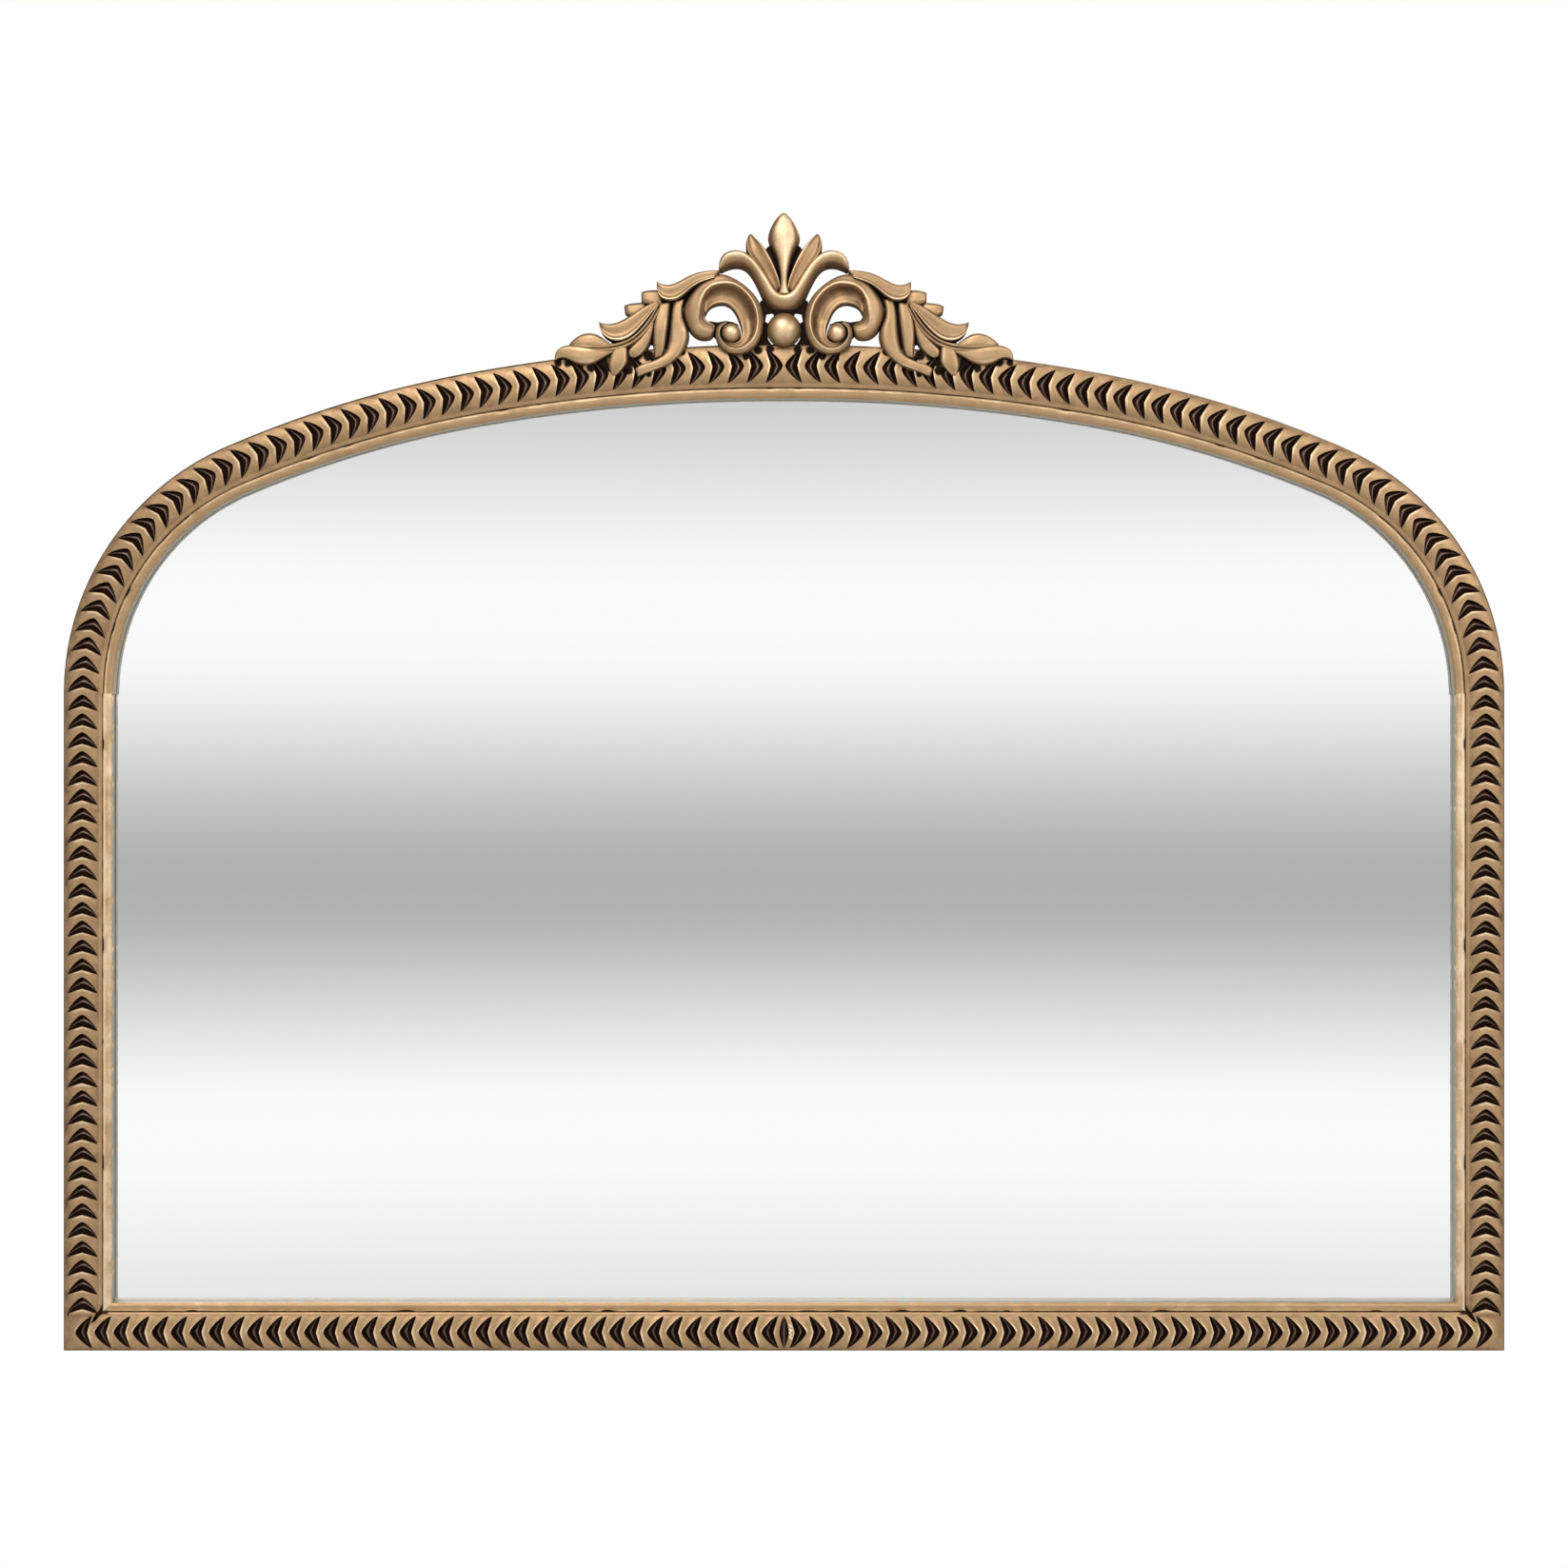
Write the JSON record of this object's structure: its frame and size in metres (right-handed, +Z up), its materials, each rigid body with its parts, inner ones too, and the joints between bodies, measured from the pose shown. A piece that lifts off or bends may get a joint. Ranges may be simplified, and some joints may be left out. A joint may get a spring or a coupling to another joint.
{
  "type": "framed mirror",
  "caption": "Arched wall mirror in a gilt chevron moulding with a pierced scroll and palmette crest, held from behind by turn buttons and hung on D rings.",
  "frame": {"origin": "point of the wall plane midway between the two hooks that the frame hangs on", "axes": "+X to the right seen from the front, +Y into the wall (the mirror faces -Y), +Z up"},
  "size_m": [1.015, 0.04, 0.8009],
  "materials": {
    "gilt_moulding": "antiqued champagne gold over composition, dark in the pockets",
    "gilt_liner": "lighter burnished gold",
    "crest_casting": "cast resin, antiqued gold with dark recesses",
    "joint_wood": "bare",
    "mirror_glass": "polished, silvered",
    "backing_board": "bare hardboard",
    "cork_pad": "cork",
    "bumper_rubber": "matt black",
    "screw_steel": "yellow zinc plated",
    "plated_steel": "zinc plated",
    "ring_steel": "nickel plated"
  },
  "bodies": {
    "frame": {"arch_left": "gilt_moulding", "arch_right": "gilt_moulding", "backing_board": "backing_board", "bottom_rail_left": "gilt_moulding", "bottom_rail_right": "gilt_moulding", "crest_palmette": "crest_casting", "crest_pearl": "crest_casting", "crest_screws": "screw_steel", "crest_scroll_left": "crest_casting", "crest_scroll_right": "crest_casting", "crest_strap_centre": "plated_steel", "crest_strap_inner_left": "plated_steel", "crest_strap_inner_right": "plated_steel", "crest_strap_outer_left": "plated_steel", "crest_strap_outer_right": "plated_steel", "hanger_screws": "screw_steel", "hanger_strap_left": "plated_steel", "hanger_strap_right": "plated_steel", "joint_tongues": "joint_wood", "liner_arch_left": "gilt_liner", "liner_arch_right": "gilt_liner", "liner_bottom": "gilt_liner", "liner_left": "gilt_liner", "liner_right": "gilt_liner", "mirror_pane": "mirror_glass", "mitre_keys": "joint_wood", "pane_pads": "cork_pad", "stile_left": "gilt_moulding", "stile_right": "gilt_moulding", "turn_button_screws": "screw_steel", "wall_bumper_lower_left": "bumper_rubber", "wall_bumper_lower_right": "bumper_rubber", "wall_bumper_upper_left": "bumper_rubber", "wall_bumper_upper_right": "bumper_rubber"},
    "turn_button_bottom_left": {"turn_button_bottom_left": "plated_steel"},
    "turn_button_bottom_right": {"turn_button_bottom_right": "plated_steel"},
    "turn_button_side_left": {"turn_button_side_left": "plated_steel"},
    "turn_button_side_right": {"turn_button_side_right": "plated_steel"},
    "turn_button_top_left": {"turn_button_top_left": "plated_steel"},
    "turn_button_top_right": {"turn_button_top_right": "plated_steel"},
    "d_ring_left": {"d_ring_left": "ring_steel"},
    "d_ring_right": {"d_ring_right": "ring_steel"}
  },
  "joints": [
    {"name": "turn_button_bottom_left_turn", "type": "hinge", "parent": "frame", "child": "turn_button_bottom_left", "pos_m": [-0.25375, -0.0051, -0.4245], "axis": [0, 1, 0], "range_deg": [-90, 90]},
    {"name": "turn_button_bottom_right_turn", "type": "hinge", "parent": "frame", "child": "turn_button_bottom_right", "pos_m": [0.25375, -0.0051, -0.4245], "axis": [0, 1, 0], "range_deg": [-90, 90]},
    {"name": "turn_button_side_left_turn", "type": "hinge", "parent": "frame", "child": "turn_button_side_left", "pos_m": [-0.489, -0.0051, -0.15594], "axis": [0, 1, 0], "range_deg": [-90, 90]},
    {"name": "turn_button_side_right_turn", "type": "hinge", "parent": "frame", "child": "turn_button_side_right", "pos_m": [0.489, -0.0051, -0.15594], "axis": [0, 1, 0], "range_deg": [-90, 90]},
    {"name": "turn_button_top_left_turn", "type": "hinge", "parent": "frame", "child": "turn_button_top_left", "pos_m": [-0.29819, -0.0051, 0.20883], "axis": [0, 1, 0], "range_deg": [-90, 90]},
    {"name": "turn_button_top_right_turn", "type": "hinge", "parent": "frame", "child": "turn_button_top_right", "pos_m": [0.29819, -0.0051, 0.20883], "axis": [0, 1, 0], "range_deg": [-90, 90]},
    {"name": "d_ring_left_swing", "type": "hinge", "parent": "frame", "child": "d_ring_left", "pos_m": [-0.49375, -0.0031, -0.0147], "axis": [1, 0, 0], "range_deg": [0, 180]},
    {"name": "d_ring_right_swing", "type": "hinge", "parent": "frame", "child": "d_ring_right", "pos_m": [0.49375, -0.0031, -0.0147], "axis": [1, 0, 0], "range_deg": [0, 180]}
  ]
}
